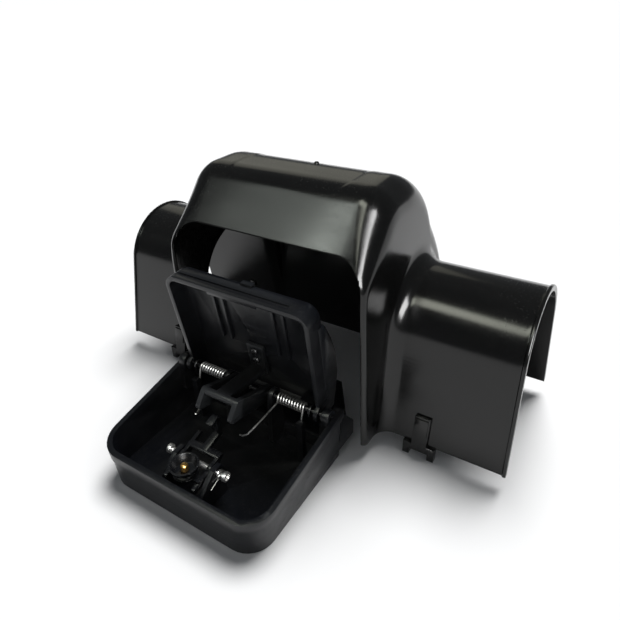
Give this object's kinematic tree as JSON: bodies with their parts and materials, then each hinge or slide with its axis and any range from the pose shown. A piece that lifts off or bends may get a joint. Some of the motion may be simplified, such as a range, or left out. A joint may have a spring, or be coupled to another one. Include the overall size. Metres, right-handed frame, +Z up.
{
  "type": "rat snap trap with tunnel cover",
  "caption": "Black plastic rat snap trap with a raised spring-loaded jaw, trigger and bait cup, standing at the open front of a hooded tunnel cover.",
  "frame": {"origin": "middle of the object's footprint, on the ground", "axes": "+X along the tunnels to the right as seen from the trap, +Y from the trap towards the back of the hood, +Z up"},
  "size_m": [0.3, 0.2124, 0.1594],
  "materials": {
    "cover_plastic": "glossy black injection-moulded plastic",
    "trap_plastic": "satin blue-black moulded plastic",
    "trigger_plastic": "satin black moulded plastic",
    "fork_plastic": "dark grey satin plastic",
    "spring_steel": "bright drawn spring wire",
    "pin_steel": "bright zinc-plated steel",
    "black_steel": "black-finished steel",
    "brass": "dull yellow metal"
  },
  "bodies": {
    "cover": {"tunnel_cover": "cover_plastic", "clip_foot_front_left": "cover_plastic", "clip_foot_front_right": "cover_plastic", "clip_foot_rear_left": "cover_plastic", "clip_foot_rear_right": "cover_plastic"},
    "trap": {"trap_base": "trap_plastic", "hinge_pin": "black_steel", "hinge_clip_left": "black_steel", "hinge_clip_right": "black_steel", "jaw_spring_left": "spring_steel", "jaw_spring_right": "spring_steel", "trigger_pin": "pin_steel", "trigger_pin_cap_left": "pin_steel", "trigger_pin_cap_right": "pin_steel", "trigger_spring": "spring_steel"},
    "jaw": {"jaw": "trap_plastic", "latch_fork": "fork_plastic", "fork_screw_1": "black_steel", "fork_screw_2": "black_steel"},
    "trigger": {"trigger_lever": "trigger_plastic", "bait_cup": "trigger_plastic", "cup_rivet": "brass"}
  },
  "joints": [
    {"name": "trap_slide", "type": "slide", "parent": "cover", "child": "trap", "axis": [0, 1, 0], "range_m": [-0.08, 0.06]},
    {"name": "jaw_hinge", "type": "hinge", "parent": "trap", "child": "jaw", "pos_m": [0, -0.03024, 0.0389], "axis": [1, 0, 0], "range_deg": [0, 88], "deforming": ["jaw_spring_left", "jaw_spring_right"]},
    {"name": "trigger_pivot", "type": "hinge", "parent": "trap", "child": "trigger", "pos_m": [0, -0.08324, 0.022], "axis": [1, 0, 0], "range_deg": [0, 6], "stiffness_Nm_per_rad": 0.02, "springref_deg": -8.59, "deforming": ["trigger_spring"]}
  ]
}
